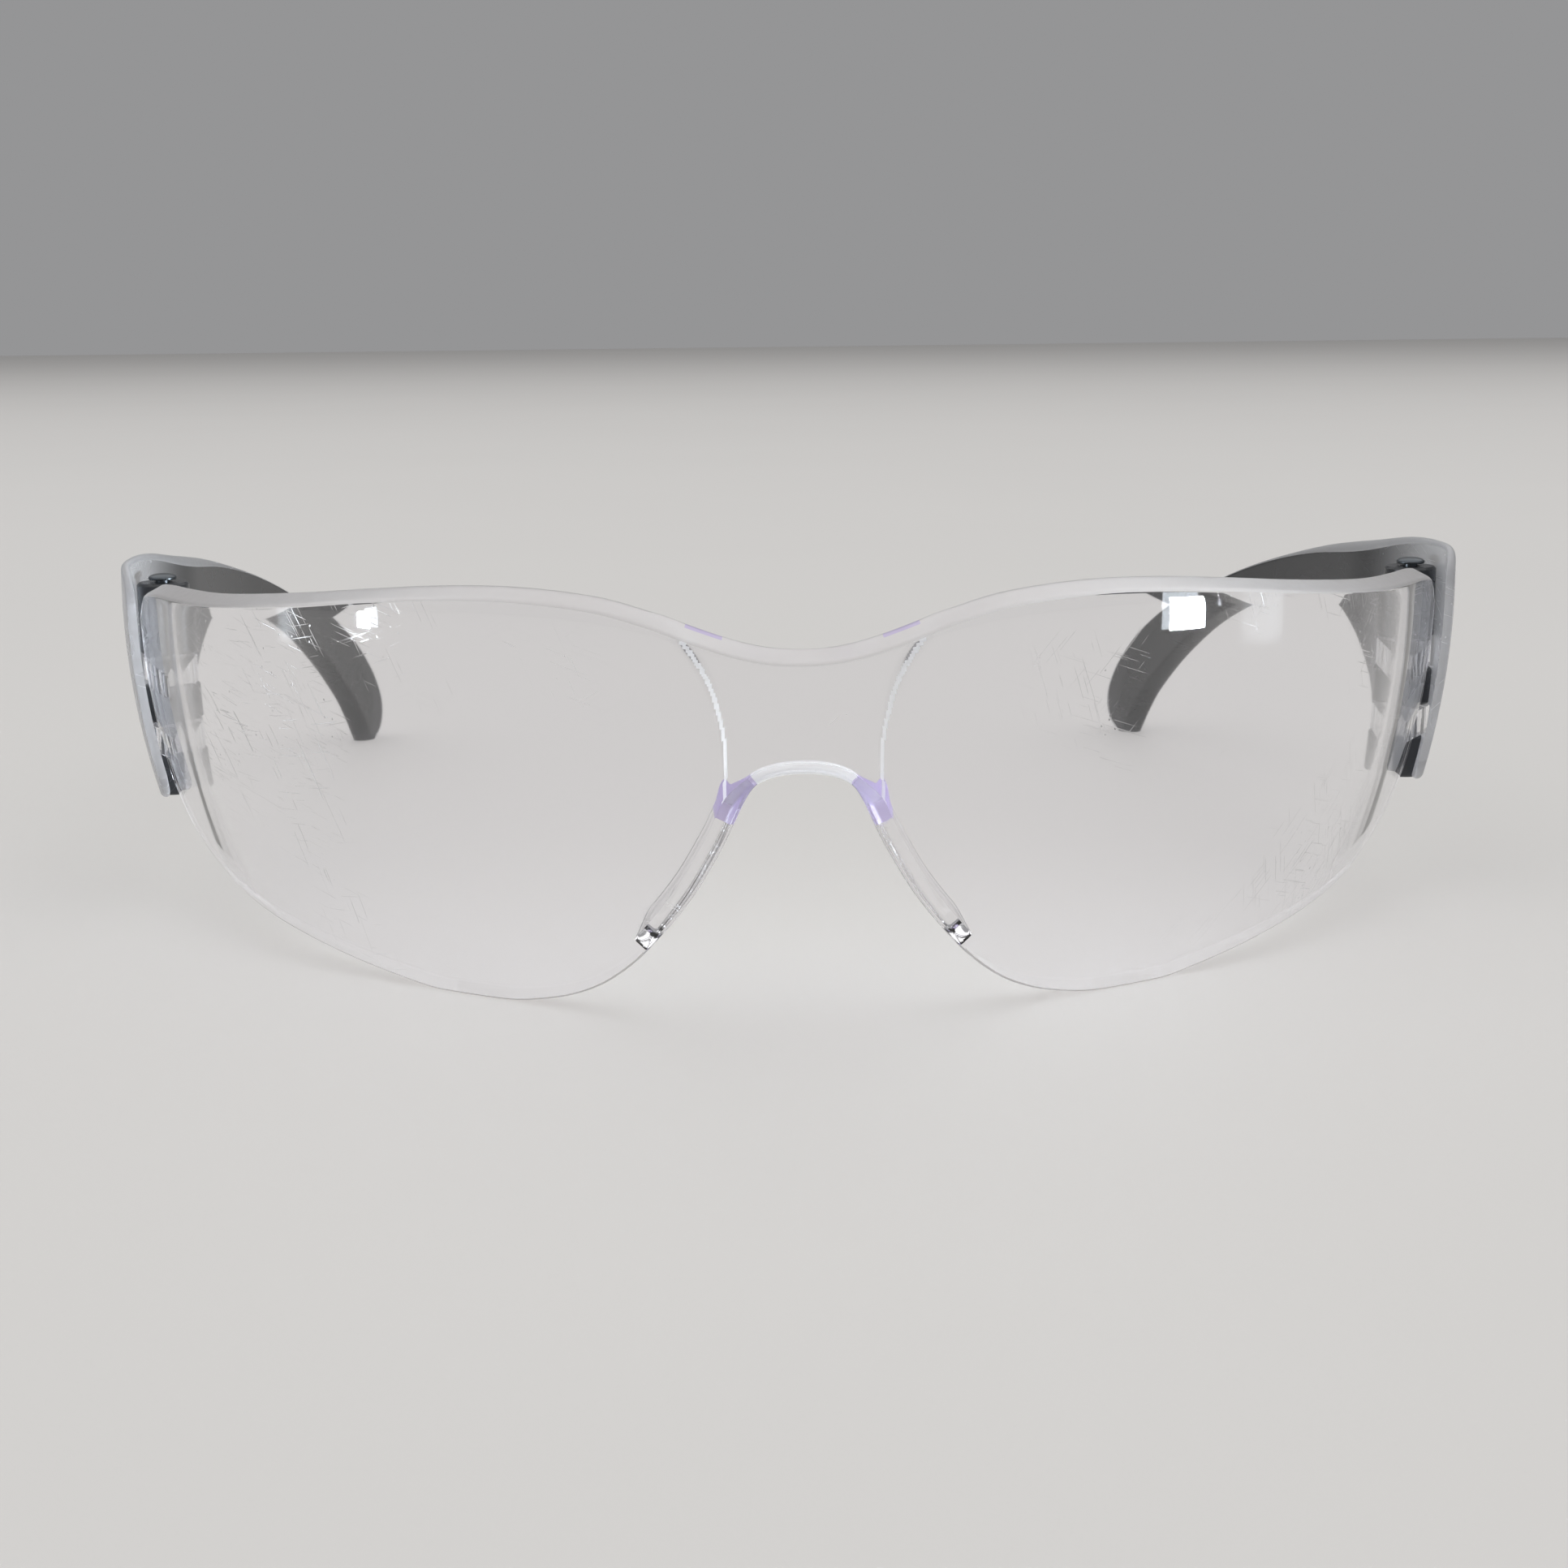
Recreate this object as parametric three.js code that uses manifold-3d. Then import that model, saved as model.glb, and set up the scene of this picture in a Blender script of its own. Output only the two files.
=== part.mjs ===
// Wraparound safety glasses: one clear shield lens with its nose saddle and hinge lugs moulded in
// one piece, two grey-tinted temples that turn on five-knuckle hinges, and the two hinge pins.
// Units are millimetres. +Z is up, the front of the lens faces -Y, the wearer's left is +X.
// The glasses stand open on their two lower lens edges and their two temple tips, on z = 0.
import * as THREE from "three";
import { mergeVertices } from "three/addons/utils/BufferGeometryUtils.js";
import Module from "manifold-3d";

const wasm = await Module();
wasm.setup();

// Lens shell: an ellipsoid of nearly one radius, with straight wings at both ends.
const LENS_RADIUS = 73.5; // plan radius of the front surface
const LENS_RISE_RADIUS = 78.6; // radius of the front surface from bottom to top
const LENS_WIDEST_Z = 34.2; // height at which the shell is widest
const WING_START = THREE.MathUtils.degToRad(65); // plan angle where the wing runs on straight
const LENS_END = 98.5; // distance from the middle to the lens end, along the front surface
const LENS_THICKNESS = 2.2;
const TOP_BEVEL = 1.1; // the top edge is this much higher at the back than at the front
const BRIDGE_EXTRA = 0.45; // added thickness of the bridge panel, on the inner side
const BRIDGE_STEP = 1.2; // width of the rounded step around the bridge panel

// Nose saddle: the rim that runs down one nose side, over the arch and down the other.
const SADDLE_END = 16.4; // distance from the middle at which the saddle stops
const ARCH_WALL = 0.9; // wall thickness at the arch
const PAD_WALL = 1.7; // and along the nose pads
const ARCH_DEPTH = 3.0; // how far the saddle stands back from the lens at the arch
const PAD_DEPTH = 6.8; // and along the nose pads
const PAD_FLARE = 0.05; // the pads open outward by this much for each millimetre back
const PAD_START = [4.4, 6.2]; // the arch turns into the pad between these distances
const FOOT_LENGTH = 2.5; // the pads run out over this distance at their lower ends
const FOOT_SHARE = 0.12; // to this share of their depth
const SADDLE_ROOT = 1.0; // how deep inside the lens wall the saddle starts
const SADDLE_SETBACK = 0.05; // how far its nose side stands back from the lens edge

// Hinge: the lens carries two lugs, the temple three knuckles, and one pin holds all five.
const PIN_X = 71.2;
const PIN_Y = 60.5;
const BARREL_RADIUS = 2.9;
const LUG_RADIUS = 2.7;
const SLOT_RADIUS = 3.15; // room in the temple for a lug to turn in
const LUG_SWING = THREE.MathUtils.degToRad(4.5); // a slot also clears the lug turned this far
const BORE_RADIUS = 1.1;
const PIN_RADIUS = 0.8;
const PIN_HEAD_RADIUS = 1.6;
const PIN_HEAD_HEIGHT = 0.7;
const PIN_HEAD_PROFILE = [[1, 0.3], [0.6, 0.85], [0, 1]]; // shares of the head's radius and height
const PIN_CHAMFER = 0.2;
const HINGE_BOTTOM = 12;
const HINGE_TOP = 36.2;
const LUG_LEVELS = [[17.1, 20.1], [24.8, 27.8]]; // bottom and top of each lug
const KNUCKLE_SKIN = 0.15; // the knuckles stay this far inside the plate's outer face
const GAP = 0.3; // between a lug and a knuckle, and between the pin head and its knuckle
const LUG_APEX = [66.2, 47.4]; // where a lug's front corner runs out inside the lens wall

// Temple: a tall hinge plate that narrows to an arm, lofted between its top and bottom edges.
const TEMPLE_START = 54; // distance behind the lens front at which the plate starts
const TEMPLE_OUTER_X = 75.4;
const LIP_THICKNESS = 1.0; // the plate's front lip, which covers the lens end
const LIP_LENGTH = 5;
const LIP_CURVE = 1.3; // how far the lip's front edge curves in towards the lens
const ARM_THICKNESS = 3.2;
const ARM_START = 30; // distance along the temple at which the arm has its full thickness
const PLATE_LENGTH = 24; // the plate's curved outside has run out into the straight arm here
const TEMPLE_LENGTH = 105.5;
const EDGE_CHAMFER = 0.3; // share of the thickness taken off each face at the temple's edges
const EDGE_ROWS = [0, 0.13, 0.35, 0.65, 0.87, 1]; // lofted rows, from the bottom to the top edge
const ARM_CURVE = [10.5, 4]; // inward curve of the arm at its end: square and fourth-power part
const SPLAY = { left: 3.4, right: -3.1 }; // how far each temple is turned inward at rest, degrees

// Edges as [distance, height]. On the lens the distance runs along the front surface from the
// middle, on the temple it runs straight back from the start of the plate.
const LENS_TOP = [
  [0, 36.1], [3.2, 36.3], [6.5, 37.0], [10.3, 38.2], [14, 39.5], [19.2, 40.8], [27, 41.5],
  [35, 41.4], [44, 40.7], [55, 39.6], [70, 38.3], [82, 37.7], [93, 37.0], [96.4, 36.2],
  [LENS_END, 33.8],
];
const LENS_BOTTOM = [
  [0, 24.8], [3.3, 24.3], [5, 23.0], [7.7, 17.7], [11.1, 12.3], [16.1, 6.7], [19.6, 3.9],
  [22.8, 2.2], [27, 0.9], [34, 0], [42, 0], [47.5, 0.6], [60.5, 2.3], [77, 4.4], [90, 6.6],
  [95.6, 9.2], [LENS_END, 13.4],
];
const BRIDGE_BORDER = [ // half width of the bridge panel at a height
  [6, 16.4], [12.3, 12.2], [18, 9.0], [24.7, 7.9], [29.3, 8.3], [34.7, 10.4], [42, 16.6],
];
const TEMPLE_TOP = [
  [0, 34.6], [0.7, 36.9], [3.2, 38.5], [8, 38.9], [15, 38.6], [24, 37.4], [41, 35.0], [60, 31.0],
  [75, 26.6], [87, 21.8], [96, 16.6], [102, 11.2], [105, 6.6], [105.5, 3.4], [104.4, 1.0], [102.4, 0],
];
const TEMPLE_BOTTOM = [
  [0, 14.6], [0.9, 12.7], [3.2, 12], [9, 12], [14, 13.8], [19, 21.0], [26, 28.0], [38, 29.6],
  [52, 27.6], [64, 24.6], [75, 20.4], [85, 14.6], [92.5, 8.6], [96.4, 4.2], [99, 0],
];

/** Cubic curve through points, as a function of their first number. */
function through(points, at) {
  const last = points.length - 1;
  let i = 0;
  while (i < last - 1 && at > points[i + 1][0]) i += 1;
  const slope = (k) => {
    if (k === 0 && points[0][0] === 0) return 0;
    const a = points[Math.max(k - 1, 0)];
    const b = points[Math.min(k + 1, last)];
    return (b[1] - a[1]) / (b[0] - a[0]);
  };
  const [x0, y0] = points[i];
  const [x1, y1] = points[i + 1];
  const width = x1 - x0;
  const t = (at - x0) / width;
  if (y0 === y1) return y0;
  const flatStart = i > 0 && points[i - 1][1] === y0;
  const flatEnd = i + 2 <= last && points[i + 2][1] === y1;
  const m0 = flatStart ? 0 : slope(i) * width;
  const m1 = flatEnd ? 0 : slope(i + 1) * width;
  const t2 = t * t;
  const t3 = t2 * t;
  return (2 * t3 - 3 * t2 + 1) * y0 + (t3 - 2 * t2 + t) * m0 + (3 * t2 - 2 * t3) * y1 + (t3 - t2) * m1;
}

/** Point and outward direction of the front surface in plan, at a distance from the middle. */
function plan(distance) {
  const side = Math.sign(distance);
  const along = Math.abs(distance);
  const angle = Math.min(along / LENS_RADIUS, WING_START);
  const straight = Math.max(along - LENS_RADIUS * WING_START, 0);
  return {
    x: side * (LENS_RADIUS * Math.sin(angle) + straight * Math.cos(angle)),
    y: LENS_RADIUS * (1 - Math.cos(angle)) + straight * Math.sin(angle),
    normal: [side * Math.sin(angle), -Math.cos(angle)],
  };
}

/** Point of the lens wall: inward 0 is the front surface, and inward is measured square to it. */
function lensPoint(distance, height, inward) {
  const p = plan(distance);
  const drop = (height - LENS_WIDEST_Z) / LENS_RISE_RADIUS;
  const shrink = Math.sqrt(1 - drop * drop);
  const level = inward / shrink;
  return [
    p.x * shrink - p.normal[0] * level,
    LENS_RADIUS - (LENS_RADIUS - p.y) * shrink - p.normal[1] * level,
    height,
  ];
}

/** Thickness of the lens wall, with the bridge panel's rounded step. */
function wallThickness(distance, height) {
  const level = THREE.MathUtils.clamp(height, BRIDGE_BORDER[0][0], BRIDGE_BORDER.at(-1)[0]);
  const border = through(BRIDGE_BORDER, level);
  const inside = border - Math.abs(distance);
  return LENS_THICKNESS + BRIDGE_EXTRA * THREE.MathUtils.smoothstep(inside, 0, BRIDGE_STEP);
}

/** Closed geometry from three.js, with every vertex moved by place(x, y, z). */
function shaped(geometry, place) {
  const bare = geometry.index ? geometry.toNonIndexed() : geometry.clone();
  bare.deleteAttribute("normal");
  bare.deleteAttribute("uv");
  const position = bare.attributes.position;
  for (let i = 0; i < position.count; i += 1) {
    position.setXYZ(i, ...place(position.getX(i), position.getY(i), position.getZ(i)));
  }
  return mergeVertices(bare, 1e-4);
}

function solid(geometry) {
  const merged = geometry.index ? geometry : mergeVertices(geometry, 1e-4);
  return new wasm.Manifold(new wasm.Mesh({
    numProp: 3,
    vertProperties: new Float32Array(merged.attributes.position.array),
    triVerts: new Uint32Array(merged.index.array),
  }));
}

function geometryOf(manifold) {
  const mesh = manifold.getMesh();
  const geometry = new THREE.BufferGeometry();
  geometry.setAttribute("position", new THREE.BufferAttribute(new Float32Array(mesh.vertProperties), 3));
  geometry.setIndex(new THREE.BufferAttribute(new Uint32Array(mesh.triVerts), 1));
  return geometry;
}

/** Upright prism of a plan outline, between two heights. */
function prism(outline, bottom, top) {
  const geometry = new THREE.ExtrudeGeometry(outline, { depth: top - bottom, bevelEnabled: false });
  return solid(shaped(geometry, (x, y, z) => [x, y, z + bottom]));
}

/** Upright round bar on the hinge axis of one side. */
function bar(side, radius, bottom, top, sides = 28) {
  const geometry = new THREE.CylinderGeometry(radius, radius, top - bottom, sides);
  return solid(shaped(geometry, (x, y, z) => [side * PIN_X + x, PIN_Y - z, (bottom + top) / 2 + y]));
}

/** The curved shell of the lens, between its bottom and top edges. */
function lensShell() {
  const columns = 104;
  const rows = 8;
  return shaped(new THREE.BoxGeometry(2, 1, 1, columns, rows, 1), (x, y, z) => {
    const distance = LENS_END * x * (0.5 + 0.5 * x * x);
    const along = Math.abs(distance);
    const inner = z < 0;
    const bottom = through(LENS_BOTTOM, along);
    const top = through(LENS_TOP, along) + (inner ? 0 : -TOP_BEVEL);
    const height = bottom + (top - bottom) * (y + 0.5);
    return lensPoint(distance, height, inner ? wallThickness(distance, height) : 0);
  });
}

/** The nose saddle: a wall behind the lens that follows the nose outline. */
function noseSaddle() {
  const columns = 56;
  return shaped(new THREE.BoxGeometry(2, 1, 1, columns, 1, 2), (x, y, z) => {
    const distance = SADDLE_END * x;
    const along = Math.abs(distance);
    const step = 0.05;
    const low = through(LENS_BOTTOM, along);
    const slope = (through(LENS_BOTTOM, along + step) - through(LENS_BOTTOM, Math.max(along - step, 0))) /
      (along < step ? along + step : 2 * step);
    const length = Math.hypot(slope, 1);
    const pad = THREE.MathUtils.smoothstep(along, ...PAD_START);
    const into = y > 0 ? ARCH_WALL + (PAD_WALL - ARCH_WALL) * pad : SADDLE_SETBACK;
    const away = -Math.sign(distance) * slope / length;
    const foot = THREE.MathUtils.smoothstep(SADDLE_END - along, 0, FOOT_LENGTH);
    const depth = (ARCH_DEPTH + (PAD_DEPTH - ARCH_DEPTH) * pad) * (FOOT_SHARE + (1 - FOOT_SHARE) * foot);
    const behind = (0.5 - z) * depth;
    const point = lensPoint(distance + away * into, low + into / length, SADDLE_ROOT);
    const flare = PAD_FLARE * behind * pad;
    return [point[0] + Math.sign(distance) * flare, point[1] + behind, point[2]];
  });
}

/** One lens hinge lug in plan, from inside the lens wall to round the pin, turned about the pin. */
function lugOutline(side, radius, turn = 0) {
  const outline = new THREE.Shape();
  const reach = Math.hypot(LUG_APEX[0] - PIN_X, LUG_APEX[1] - PIN_Y);
  const bearing = Math.atan2(LUG_APEX[1] - PIN_Y, LUG_APEX[0] - PIN_X) + turn;
  const spread = Math.acos(radius / reach);
  const steps = 18;
  outline.moveTo(side * (PIN_X + reach * Math.cos(bearing)), PIN_Y + reach * Math.sin(bearing));
  for (let i = 0; i <= steps; i += 1) {
    const angle = bearing + spread + (2 * Math.PI - 2 * spread) * (i / steps);
    outline.lineTo(side * (PIN_X + radius * Math.cos(angle)), PIN_Y + radius * Math.sin(angle));
  }
  outline.closePath();
  return outline;
}

function lens() {
  let body = solid(lensShell()).add(solid(noseSaddle()));
  for (const side of [-1, 1]) {
    for (const [bottom, top] of LUG_LEVELS) {
      body = body.add(prism(lugOutline(side, LUG_RADIUS), bottom, top));
    }
    body = body.subtract(bar(side, BORE_RADIUS, HINGE_BOTTOM - 1, HINGE_TOP + 1));
  }
  return geometryOf(body);
}

const curveOf = (points) => new THREE.SplineCurve(points.map(([x, y]) => new THREE.Vector2(x, y)));

/** Outer face of the temple, at a distance along it and a height. */
function templeOuter(back, height) {
  const part = back / TEMPLE_LENGTH;
  const lip = Math.max(1 - back / LIP_LENGTH, 0);
  const drop = (height - LENS_WIDEST_Z) / LENS_RISE_RADIUS;
  const follow = 1 - THREE.MathUtils.smoothstep(back, 0.25 * PLATE_LENGTH, PLATE_LENGTH);
  const tuck = LENS_RADIUS * (1 - Math.sqrt(1 - drop * drop)) * follow;
  const bend = ARM_CURVE[0] * part ** 2 + ARM_CURVE[1] * part ** 4;
  return TEMPLE_OUTER_X - LIP_CURVE * lip ** 2 - bend - tuck;
}

/** The temple's plate and arm, between its top and bottom edges, before the hinge is made. */
function templeBlade(side) {
  const columns = 66;
  const topEdge = curveOf(TEMPLE_TOP);
  const bottomEdge = curveOf(TEMPLE_BOTTOM);
  const strips = EDGE_ROWS.length - 1;
  return shaped(new THREE.BoxGeometry(1, 1, 1, columns, strips, 1), (x, y, z) => {
    const place = x + 0.5;
    const row = EDGE_ROWS[Math.round((y + 0.5) * strips)];
    const high = topEdge.getPoint(place);
    const low = bottomEdge.getPoint(place);
    const back = low.x + (high.x - low.x) * row;
    const height = low.y + (high.y - low.y) * row;
    const full = LIP_THICKNESS +
      (ARM_THICKNESS - LIP_THICKNESS) * THREE.MathUtils.smoothstep(back, LIP_LENGTH, ARM_START);
    const chamfer = row === 0 || row === 1 ? EDGE_CHAMFER : 0;
    const outerFace = z * side > 0;
    const inward = full * (outerFace ? chamfer : 1 - chamfer);
    return [side * (templeOuter(back, height) - inward), TEMPLE_START + back, height];
  });
}

/** The room inside the temple's outer face that its knuckles may fill. */
function knuckleRoom(side) {
  const depth = 4 * BARREL_RADIUS;
  const length = 2 * BARREL_RADIUS + 2;
  const pinBack = PIN_Y - TEMPLE_START;
  return shaped(new THREE.BoxGeometry(1, 1, 1, 8, 10, 1), (x, y, z) => {
    const back = pinBack + x * length;
    const height = HINGE_BOTTOM - 1 + (y + 0.5) * (HINGE_TOP - HINGE_BOTTOM + 2);
    const inward = z * side > 0 ? KNUCKLE_SKIN : depth;
    return [side * (templeOuter(back, height) - inward), TEMPLE_START + back, height];
  });
}

function knuckleLevels() {
  const levels = [];
  let bottom = HINGE_BOTTOM;
  for (const [low, high] of LUG_LEVELS) {
    levels.push([bottom, low - GAP]);
    bottom = high + GAP;
  }
  levels.push([bottom, HINGE_TOP]);
  return levels;
}

function temple(side) {
  let body = solid(templeBlade(side));
  const room = solid(knuckleRoom(side));
  for (const [bottom, top] of knuckleLevels()) {
    body = body.add(bar(side, BARREL_RADIUS, bottom, top).intersect(room));
  }
  for (const [bottom, top] of LUG_LEVELS) {
    body = body.subtract(prism(lugOutline(side, SLOT_RADIUS), bottom - GAP, top + GAP));
    body = body.subtract(prism(lugOutline(side, SLOT_RADIUS, LUG_SWING), bottom - GAP, top + GAP));
  }
  body = body.subtract(bar(side, BORE_RADIUS, HINGE_BOTTOM - 1, HINGE_TOP + 1));
  return geometryOf(body);
}

/** A hinge pin: a plain shank with a low domed head. */
function pinGeometry() {
  const headBottom = HINGE_TOP + GAP;
  const profile = [
    [0, HINGE_BOTTOM], [PIN_RADIUS - PIN_CHAMFER, HINGE_BOTTOM], [PIN_RADIUS, HINGE_BOTTOM + PIN_CHAMFER],
    [PIN_RADIUS, headBottom], [PIN_HEAD_RADIUS, headBottom],
    ...PIN_HEAD_PROFILE.map(([r, h]) => [r * PIN_HEAD_RADIUS, headBottom + h * PIN_HEAD_HEIGHT]),
  ].map(([radius, height]) => new THREE.Vector2(radius, height));
  return shaped(new THREE.LatheGeometry(profile, 20), (x, y, z) => [x, -z, y]);
}

const clearLens = new THREE.MeshStandardMaterial({ color: 0xdfe0e6, roughness: 0.06, metalness: 0 });
const greyTemple = new THREE.MeshStandardMaterial({ color: 0x3c3f44, roughness: 0.25, metalness: 0 });
const steel = new THREE.MeshStandardMaterial({ color: 0x3c4043, roughness: 0.35, metalness: 1 });

const glasses = new THREE.Group();

const lensMesh = new THREE.Mesh(lens(), clearLens);
lensMesh.name = "lens";
glasses.add(lensMesh);

for (const [name, side] of [["left", 1], ["right", -1]]) {
  const hinge = new THREE.Group();
  hinge.position.set(side * PIN_X, PIN_Y, 0);
  hinge.rotation.z = side * THREE.MathUtils.degToRad(SPLAY[name]);
  const templeMesh = new THREE.Mesh(temple(side), greyTemple);
  templeMesh.name = `temple_${name}`;
  templeMesh.position.set(-side * PIN_X, -PIN_Y, 0);
  hinge.add(templeMesh);
  glasses.add(hinge);

  const pin = new THREE.Mesh(pinGeometry(), steel);
  pin.name = `hinge_pin_${name}`;
  pin.position.set(side * PIN_X, PIN_Y, 0);
  glasses.add(pin);
}

// The origin is in the middle of the open glasses, on the surface they stand on.
const extent = new THREE.Box3().setFromObject(glasses, true);
const middle = extent.getCenter(new THREE.Vector3());
glasses.position.set(-middle.x, -middle.y, -extent.min.z);

export default glasses;
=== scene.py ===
"""Wraparound safety glasses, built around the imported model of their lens, temples and pins.

The shapes are worked out in millimetres, in the glasses' own frame: x = 0 is the middle of the
lens, y = 0 its foremost point and z = 0 the surface that the glasses stand on. Blender's meshes
are in metres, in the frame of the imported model.
"""

import math

import bmesh
import bpy
from bpy.props import FloatProperty, FloatVectorProperty, IntProperty, PointerProperty
from mathutils import Matrix, Vector


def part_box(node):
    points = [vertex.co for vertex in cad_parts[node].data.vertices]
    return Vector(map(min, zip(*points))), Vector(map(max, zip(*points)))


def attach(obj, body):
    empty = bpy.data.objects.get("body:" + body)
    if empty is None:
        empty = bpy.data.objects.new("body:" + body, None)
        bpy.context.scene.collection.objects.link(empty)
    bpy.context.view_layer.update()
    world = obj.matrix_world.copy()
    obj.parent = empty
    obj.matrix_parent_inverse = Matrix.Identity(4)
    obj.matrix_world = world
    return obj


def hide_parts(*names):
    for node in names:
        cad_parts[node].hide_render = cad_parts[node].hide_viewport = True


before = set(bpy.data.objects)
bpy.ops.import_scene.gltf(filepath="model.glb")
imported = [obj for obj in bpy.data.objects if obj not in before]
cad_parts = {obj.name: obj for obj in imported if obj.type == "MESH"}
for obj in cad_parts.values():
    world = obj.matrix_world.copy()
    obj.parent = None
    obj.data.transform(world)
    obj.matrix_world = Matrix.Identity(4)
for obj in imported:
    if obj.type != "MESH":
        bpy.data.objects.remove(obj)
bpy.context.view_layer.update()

bl_info = {
    "name": "Clear Safety Glasses",
    "version": (1, 0, 0),
    "blender": (4, 5, 0),
    "location": "3D View > Sidebar > Glasses",
    "description": "Builds clear wraparound safety glasses with folding temples",
    "category": "Object",
}

MM = 0.001

# Points of a lens section: steps round each edge, and points on the front, brow bevel and back.
CORNER_STEPS = 5
FRONT_POINTS = 34
BEVEL_POINTS = 3
BACK_POINTS = 90

# Lens shell: an ellipsoid of nearly one radius, with straight wings at both ends. An outline's
# points hold the distance from the middle, along the front surface, and the height.
LENS_RADIUS = 73.5
LENS_RISE_RADIUS = 78.6
LENS_WIDEST_Z = 34.2
WING_START = math.radians(65)
LENS_END = 98.5
TOP_BEVEL = 1.1
LENS_TOP = [
    (0, 36.1), (3.2, 36.3), (6.5, 37.0), (10.3, 38.2), (14, 39.5), (19.2, 40.8), (27, 41.5),
    (35, 41.4), (44, 40.7), (55, 39.6), (70, 38.3), (82, 37.7), (93, 37.0), (96.4, 36.2),
    (LENS_END, 33.8),
]
LENS_BOTTOM = [
    (0, 24.8), (3.3, 24.3), (5, 23.0), (7.7, 17.7), (11.1, 12.3), (16.1, 6.7), (19.6, 3.9),
    (22.8, 2.2), (27, 0.9), (34, 0), (42, 0), (47.5, 0.6), (60.5, 2.3), (77, 4.4), (90, 6.6),
    (95.6, 9.2), (LENS_END, 13.4),
]
BRIDGE_BORDER = [  # height and half width of the bridge panel
    (6, 16.4), (12.3, 12.2), (18, 9.0), (24.7, 7.9), (29.3, 8.3), (34.7, 10.4), (42, 16.6),
]
STEP_WIDTH = (1.0, 1.6)  # rounded step around the bridge panel, below and above these heights
STEP_HEIGHTS = (24, 36)
STEP_CREST = (0.35, 0.65)  # the painted highlight along the step, as shares of the step's width
BROW_TONER = (7.6, 11.0)  # the rear half of the brow is violet between these distances
NOSE_REACH = 19.0  # the mesh is finest up to here, which covers the bridge panel

# Nose saddle: the rim that runs down one nose side, over the arch and down the other.
SADDLE_ROOT = 1.0  # how deep inside the lens wall it starts
SADDLE_SETBACK = 0.03  # how far its nose side stands back from the lens edge
SADDLE_EDGE_RADIUS = 0.35
SADDLE_END = 16.4
ARCH_WALL = 0.9
PAD_WALL = 1.7
ARCH_DEPTH = 3.0
PAD_DEPTH = 6.8
PAD_FLARE = 0.05
PAD_START = (4.4, 6.2)  # the arch turns into the pad between these distances
FOOT_LENGTH = 2.5  # the pads run out over this length
FOOT_SHARE = 0.12  # to this share of their depth
GUSSET = (4.4, 6.8)  # the violet corner between the arch's painted highlight and the clear pad

# Hinge: the lens carries two lugs, the temple three knuckles, and one pin holds all five.
PIN_X = 71.2
PIN_Y = 60.5
BARREL_RADIUS = 2.9
LUG_RADIUS = 2.7
SLOT_RADIUS = 3.15
LUG_SWING = math.radians(4.5)  # a slot also clears the lug turned this far
BORE_RADIUS = 1.1
PIN_RADIUS = 0.8
PIN_HEAD_RADIUS = 1.6
PIN_HEAD_HEIGHT = 0.7
PIN_HEAD_SHOULDER = 0.3 * PIN_HEAD_HEIGHT
PIN_HEAD_BEVEL = 0.1
PIN_CHAMFER = (0.2, 0.3)  # across and along the pin's foot
HINGE_BOTTOM = 12.0
HINGE_TOP = 36.2
LUG_BOTTOM = 17.1
LUG_HEIGHT = 3.0
LUG_PITCH = 7.7
LUG_COUNT = 2
LUG_APEX = (66.2, 47.4)  # the corner of a lug's outline that lies in the lens wall
GAP = 0.3
BEYOND = 1.0  # how far a cutting tool runs past the hinge

# Temple: a tall hinge plate that narrows to an arm.
TEMPLE_START = 54.0
TEMPLE_OUTER_X = 75.4
LIP_THICKNESS = 1.0
LIP_LENGTH = 5.0
LIP_CURVE = 1.3
ARM_START = 30.0
PLATE_LENGTH = 24.0
TEMPLE_LENGTH = 105.5
ARM_CURVE = (10.5, 4.0)
PLATE_HIGHLIGHT_FADE = (4.0, 26.0)  # the plate's painted highlight fades into the arm's tint between these distances from its start
KNUCKLE_SKIN = 0.12  # the knuckles stay this far inside the plate's outer face
KNUCKLE_EDGE_RADIUS = 0.25
TEMPLE_TOP = [
    (0, 34.6), (0.7, 36.9), (3.2, 38.5), (8, 38.9), (15, 38.6), (24, 37.4), (41, 35.0), (60, 31.0),
    (75, 26.6), (87, 21.8), (96, 16.6), (102, 11.2), (105, 6.6), (105.5, 3.4), (104.4, 1.0), (102.4, 0),
]
TEMPLE_BOTTOM = [
    (0, 14.6), (0.9, 12.7), (3.2, 12), (9, 12), (14, 13.8), (19, 21.0), (26, 28.0), (38, 29.6),
    (52, 27.6), (64, 24.6), (75, 20.4), (85, 14.6), (92.5, 8.6), (96.4, 4.2), (99, 0),
]
SIDES = {
    "left": {"side": 1, "splay": math.radians(3.4)},
    "right": {"side": -1, "splay": math.radians(-3.1)},
}

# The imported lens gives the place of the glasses' own frame in the model's frame, in metres.
LENS_LOW, LENS_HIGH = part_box("lens")
MIDDLE_X = (LENS_LOW[0] + LENS_HIGH[0]) / 2
FRONT_Y = LENS_LOW[1]


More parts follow.
